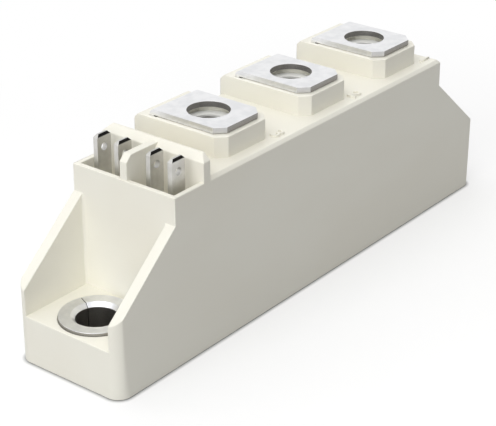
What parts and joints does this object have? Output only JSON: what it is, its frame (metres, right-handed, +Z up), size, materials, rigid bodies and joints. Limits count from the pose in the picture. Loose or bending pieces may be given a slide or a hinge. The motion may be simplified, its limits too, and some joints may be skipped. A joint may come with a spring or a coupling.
{
  "type": "thyristor diode module",
  "caption": "Narrow isolated power module with an ivory housing, screw terminals along its top, gate tabs at one end and bushed mounting lugs at both ends.",
  "frame": {"origin": "middle of the underside of the base plate", "axes": "+X along the module from the gate tabs to the far lug, +Y across it, +Z up out of the terminals"},
  "size_m": [0.0926, 0.0196, 0.031],
  "materials": {
    "housing_plastic": "ivory moulded glass-filled thermoplastic, fine satin texture",
    "base_nickel": "nickel-plated copper, flat ground",
    "bush_steel": "rolled zinc-plated steel sleeve",
    "terminal_nickel": "nickel-plated copper strip, lightly brushed",
    "nut_steel": "zinc-plated steel",
    "tab_tin": "tin-plated brass, sheared edges darker",
    "bonded_copper": "bare copper bonded to ceramic",
    "ceramic": "white alumina",
    "silicon": "metallised silicon die",
    "clip_copper": "bent copper strip, soldered",
    "wire_sleeve": "silicone-sleeved wire",
    "gel": "clear soft silicone gel"
  },
  "bodies": {
    "root": {"housing": "housing_plastic", "base_plate": "base_nickel", "mounting_bush_near": "bush_steel", "mounting_bush_far": "bush_steel", "main_terminal_1": "terminal_nickel", "main_terminal_2": "terminal_nickel", "main_terminal_3": "terminal_nickel", "terminal_nut_1": "nut_steel", "terminal_nut_2": "nut_steel", "terminal_nut_3": "nut_steel", "gate_tab_4": "tab_tin", "gate_tab_5": "tab_tin", "gate_tab_6": "tab_tin", "gate_tab_7": "tab_tin", "substrate_foil": "bonded_copper", "substrate_ceramic": "ceramic", "anode_pad": "bonded_copper", "common_pad": "bonded_copper", "cathode_pad": "bonded_copper", "thyristor_chip": "silicon", "diode_chip": "silicon", "thyristor_clip": "clip_copper", "diode_clip": "clip_copper", "gate_lead": "wire_sleeve", "sense_lead": "wire_sleeve", "gel_fill": "gel"}
  },
  "joints": []
}
